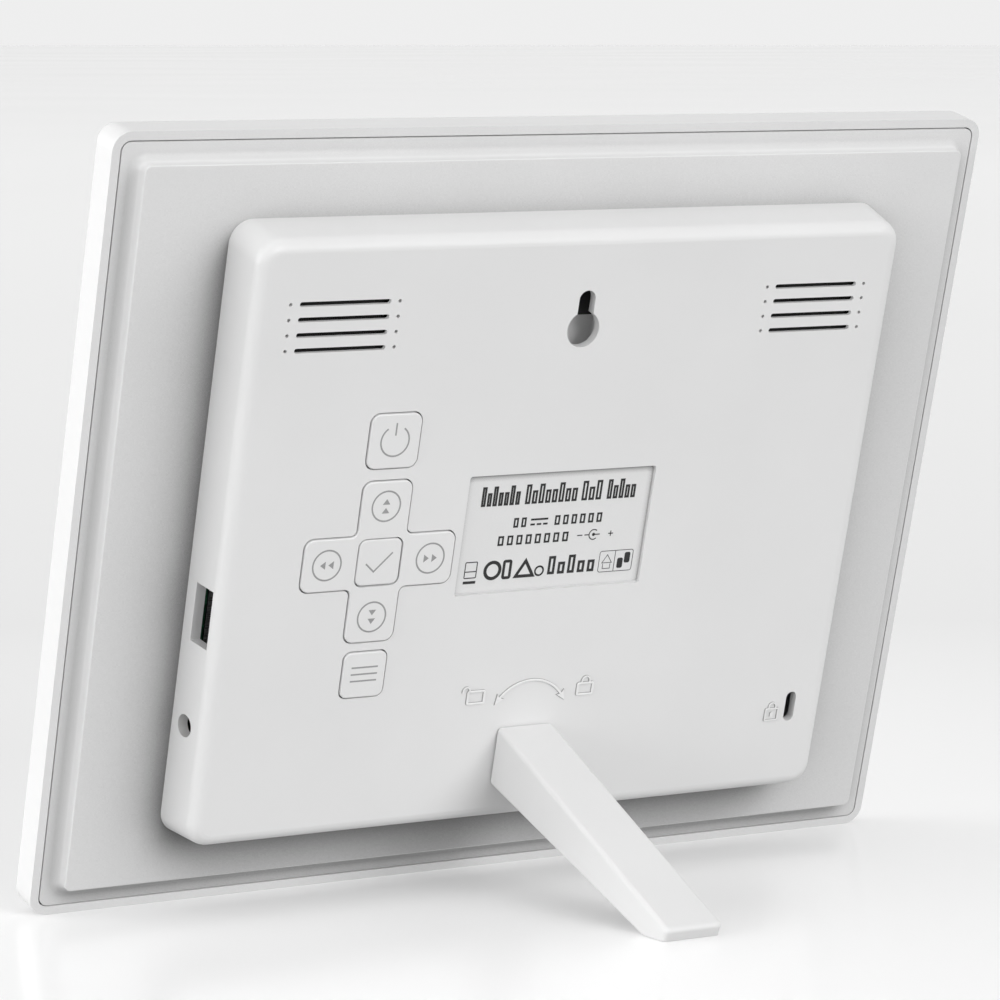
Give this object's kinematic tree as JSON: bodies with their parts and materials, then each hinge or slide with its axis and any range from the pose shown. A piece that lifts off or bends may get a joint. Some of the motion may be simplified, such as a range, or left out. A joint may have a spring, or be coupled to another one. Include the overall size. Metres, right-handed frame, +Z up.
{
  "type": "digital photo frame",
  "caption": "White digital photo frame with a landscape screen, a shallow rear housing with vents and keys, and a plug-in leg that leans it back.",
  "frame": {"origin": "centre of the bounding box in X and Y, on the surface that it stands on", "axes": "+Z up, +Y out of the back, where the leg stands; +X to the left as seen from behind"},
  "size_m": [0.209, 0.097, 0.1631],
  "materials": {
    "casing_white": "satin, fine moulded grain",
    "key_white": "satin",
    "label_white": "smooth printed film",
    "foam_black": "closed-cell foam",
    "screen_glass": "polished, anti-reflection film",
    "light_guide_clear": "clear with white dots",
    "chassis_steel": "zinc plated",
    "screw_steel": "nickel plated",
    "ribbon_white": "flat flex",
    "board_green": "solder mask",
    "chip_black": "moulded epoxy",
    "can_aluminium": "drawn can",
    "ferrite_grey": "ferrite",
    "socket_black": "moulded nylon",
    "socket_white": "moulded nylon",
    "cell_steel": "stainless can",
    "shell_steel": "nickel plated",
    "contact_brass": "gold plated",
    "magnet_grey": "sintered",
    "cone_paper": "pressed paper"
  },
  "bodies": {
    "frame": {"front_bezel": "casing_white", "rear_cover": "casing_white", "label_plate": "label_white", "screen_gasket": "foam_black", "lcd_glass": "screen_glass", "light_guide": "light_guide_clear", "lcd_chassis": "chassis_steel", "clamp_strips": "chassis_steel", "clamp_screws": "screw_steel", "display_ribbon": "ribbon_white", "main_board": "board_green", "board_screws": "screw_steel", "processor": "chip_black", "memory_chips": "chip_black", "capacitors": "can_aluminium", "inductor": "ferrite_grey", "ribbon_sockets": "socket_white", "key_ribbon": "ribbon_white", "coin_cell_holder": "socket_black", "coin_cell": "cell_steel", "usb_shell": "shell_steel", "usb_tongue": "socket_black", "usb_contacts": "contact_brass", "usb_riser": "socket_black", "dc_jack": "socket_black", "dc_jack_pin": "contact_brass", "left_speaker_frame": "socket_black", "left_speaker_cone": "cone_paper", "left_speaker_magnet": "magnet_grey", "right_speaker_frame": "socket_black", "right_speaker_cone": "cone_paper", "right_speaker_magnet": "magnet_grey", "speaker_screws": "screw_steel", "key_board": "board_green", "key_board_screws": "screw_steel", "key_switches": "chip_black", "pad_cradles": "socket_black", "leg_socket": "casing_white", "socket_screws": "screw_steel"},
    "power_key": {"power_key": "key_white", "power_plunger": "socket_black"},
    "pad_ring": {"pad_ring": "key_white"},
    "direction_pad": {"direction_pad": "key_white", "pad_plungers": "socket_black"},
    "confirm_key": {"confirm_key": "key_white", "confirm_plunger": "socket_black"},
    "menu_key": {"menu_key": "key_white", "menu_plunger": "socket_black"},
    "stand_leg": {"stand_leg": "casing_white"}
  },
  "joints": [
    {"name": "power_press", "type": "slide", "parent": "frame", "child": "power_key", "axis": [0, -0.9659, 0.2588], "range_m": [0, 0.0005], "stiffness_N_per_m": 3200, "springref_m": -0.0001},
    {"name": "confirm_press", "type": "slide", "parent": "frame", "child": "confirm_key", "axis": [0, -0.9659, 0.2588], "range_m": [0, 0.0005], "stiffness_N_per_m": 3200, "springref_m": -0.0001},
    {"name": "menu_press", "type": "slide", "parent": "frame", "child": "menu_key", "axis": [0, -0.9659, 0.2588], "range_m": [0, 0.0005], "stiffness_N_per_m": 3200, "springref_m": -0.0001},
    {"name": "pad_rock_up_down", "type": "hinge", "parent": "frame", "child": "pad_ring", "pos_m": [0.0415, -0.01021, 0.07403], "axis": [1, 0, 0], "range_deg": [-1.5, 1.5], "stiffness_Nm_per_rad": 0.7},
    {"name": "pad_rock_sideways", "type": "hinge", "parent": "pad_ring", "child": "direction_pad", "pos_m": [0.0415, -0.01021, 0.07403], "axis": [0, 0.2588, 0.9659], "range_deg": [-1.5, 1.5], "stiffness_Nm_per_rad": 0.7},
    {"name": "leg_twist", "type": "hinge", "parent": "frame", "child": "stand_leg", "pos_m": [0, -0.01788, 0.028], "axis": [0, 0.9659, -0.2588], "range_deg": [0, 90]}
  ]
}
